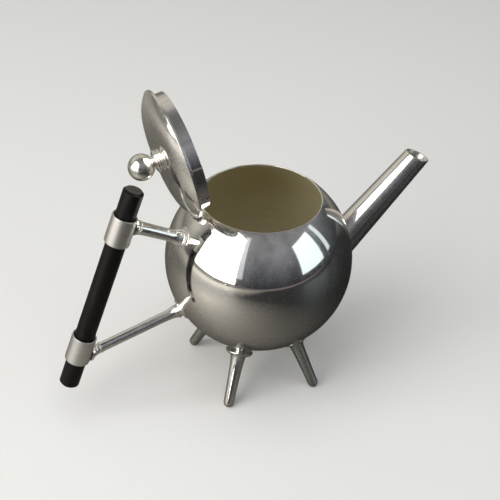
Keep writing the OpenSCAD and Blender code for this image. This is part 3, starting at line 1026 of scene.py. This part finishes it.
def floor():
    """A plain pale floor. Silver sees it as the dark paper that such pieces are photographed on: a painted
    reflection with a painted pool of window light, a painted sheen and painted shade.
    """
    half = FLOOR_HALF
    mesh = bpy.data.meshes.new("floor")
    corners = [(-half, -half, 0), (half, -half, 0), (half, half, 0), (-half, half, 0)]
    mesh.from_pydata(corners, [], [(0, 1, 2, 3)])
    ground = bpy.data.objects.new("floor", mesh)
    bpy.context.scene.collection.objects.link(ground)
    n = Finish("floor")
    n.set(Base_Color=FLOOR_PALE, Roughness=0.8, Specular_IOR_Level=0.1)
    paper = n.add("ShaderNodeBsdfPrincipled", Roughness=0.55, Specular_IOR_Level=0.35)
    axes = n.axes()
    # A painted pool of window light round the pot
    painted_pool = n.add("ShaderNodeTexGradient", gradient_type="QUADRATIC_SPHERE")
    around = n.add("ShaderNodeMapping", vector_type="TEXTURE", Location=PAINTED_POOL_AT,
                   Scale=(PAINTED_POOL_R, PAINTED_POOL_R, PAINTED_POOL_R))
    n.feed(around.inputs["Vector"], n.place)
    n.feed(painted_pool.inputs["Vector"], around.outputs["Vector"])
    # Painted sheen far off towards the window, and painted shade on the side away from it
    painted_sheen_and_shade = n.blend(n.spread(axes["X"], -0.75, -0.3, to_low=1, to_high=0), PAPER_DARK_PAINTED_SHADE, PAPER_PAINTED_SHEEN)
    edged = n.blend(n.spread(axes["Y"], -1.9, -1.5, to_low=1, to_high=0), painted_sheen_and_shade, PAPER_EDGE)
    # The painted pool of window light, laid over the rest of the paper
    near = n.blend(painted_pool.outputs["Fac"], edged, PAINTED_WINDOW_POOL)
    n.feed(paper.inputs["Base Color"], n.blend(n.spread(axes["Y"], 0.12, 0.5), near, PAPER_BACK))
    seen = n.seen_by("Is Glossy Ray", paper, usual=n.shader)
    n.feed(n.tree.nodes["Material Output"].inputs["Surface"], seen)
    mesh.materials.append(n.material)


def room():
    """The room that silver reflects: dark at the horizon, lighter overhead, with a lit wall behind."""
    world = bpy.data.worlds.new("room")
    bpy.context.scene.world = world
    world.use_nodes = True
    world.node_tree.nodes.clear()
    n = Nodes(world.node_tree, "Generated")
    axes = n.axes()
    ramp = n.add("ShaderNodeValToRGB")
    stops = ramp.color_ramp.elements
    for i, (position, colour) in enumerate(ROOM_BY_HEIGHT):
        stop = stops[i] if i < 2 else stops.new(position)
        stop.position = position
        stop.color = (*colour, 1)
    n.feed(ramp.inputs["Fac"], axes["Z"])
    wall = n.blend(n.spread(axes["Z"], 0.0, 0.3), WALL_LOW, WALL_HIGH)
    shapes = n.noise(scale=4, detail=3, stretch=(1, 1, 0.35))
    dark_room = n.add("ShaderNodeBackground")
    around = n.blend(n.spread(axes["Y"], 0.40, 0.60), ramp.outputs["Color"], wall)
    n.feed(dark_room.inputs["Color"], around)
    n.feed(dark_room.inputs["Strength"], n.spread(shapes, 0.38, 0.62, to_low=0.8, to_high=1.15))
    pale_room = n.add("ShaderNodeBackground", Color=(*ROOM_PALE, 1))
    seen = n.seen_by("Is Camera Ray", pale_room, usual=dark_room)
    n.feed(n.add("ShaderNodeOutputWorld").inputs["Surface"], seen)


def soft_fill():
    """A broad soft light from above, which silver doesn't show."""
    light = bpy.data.lights.new("soft_fill", "AREA")
    light.shape = "DISK"
    light.size = FILL_SIZE
    light.energy = FILL_WATTS
    lamp = bpy.data.objects.new("soft_fill", light)
    lamp.location = FILL_AT
    lamp.visible_glossy = False
    bpy.context.scene.collection.objects.link(lamp)


def window(name, azimuth, distance, low, high, width, radiance, colour):
    """An upright soft light that faces the ball, between two heights. The azimuth is from +X towards +Y."""
    height = high - low
    light = bpy.data.lights.new(name, "AREA")
    light.shape = "RECTANGLE"
    light.size = width
    light.size_y = height
    light.energy = radiance * pi * width * height
    light.color = colour
    lamp = bpy.data.objects.new(name, light)
    out = Vector((cos(radians(azimuth)), sin(radians(azimuth)), 0))
    lamp.location = out * distance + Vector((0, 0, (low + high) / 2))
    lamp.rotation_euler = out.to_track_quat("Z", "Y").to_euler()
    bpy.context.scene.collection.objects.link(lamp)


floor()
room()
soft_fill()
window("window_left", 190.2, 1.4, low=0.1, high=2.3, width=1.6, radiance=3.6, colour=WARM_DAY)
window("window_left_curtain", -137, 1.4, low=0.3, high=2.3, width=0.22, radiance=0.5, colour=CLEAR_DAY)
window("window_right", -45, 1.6, low=0.25, high=1.45, width=0.95, radiance=1.1, colour=COOL_DAY)
window("window_far_right", -17, 1.6, low=0.25, high=1.3, width=0.16, radiance=0.8, colour=COOL_DAY)


# ---------------------------------------------------------------- camera
FRAME_PX = 500
FOCAL_PX = 1020.0
SENSOR_MM = 36.0
CAMERA_FAR = 601.4
CAMERA_RISE = 37.34
CAMERA_AZIMUTH = -115.09
CAMERA_ROLL = -2.75
BALL_AT = (258.8, 256.7)


def camera():
    """The view's own direction and lens. The ball's centre sits a little off the middle of the frame."""
    data = bpy.data.cameras.new("camera")
    data.sensor_width = SENSOR_MM
    data.lens = FOCAL_PX / FRAME_PX * SENSOR_MM
    cam = bpy.data.objects.new("camera", data)
    bpy.context.scene.collection.objects.link(cam)
    azimuth = radians(CAMERA_AZIMUTH)
    rise = radians(CAMERA_RISE)
    out = Vector((cos(azimuth) * cos(rise), sin(azimuth) * cos(rise), sin(rise)))
    look = -out
    right = look.cross(Vector((0, 0, 1))).normalized()
    up = right.cross(look)
    pan = Matrix.Rotation(atan((BALL_AT[0] - FRAME_PX / 2) / FOCAL_PX), 3, up)
    look = pan @ look
    right = pan @ right
    tilt = Matrix.Rotation(atan((BALL_AT[1] - FRAME_PX / 2) / FOCAL_PX), 3, right)
    look = tilt @ look
    up = tilt @ up
    roll = Matrix.Rotation(radians(CAMERA_ROLL), 3, look)
    axes = Matrix((roll @ right, roll @ up, -look)).transposed()
    ball_centre = Vector((0, 0, BALL_Z * MM))
    cam.matrix_world = Matrix.Translation(ball_centre + out * CAMERA_FAR * MM) @ axes.to_4x4()
    bpy.context.scene.camera = cam


camera()
bpy.context.scene.view_settings.view_transform = "Standard"
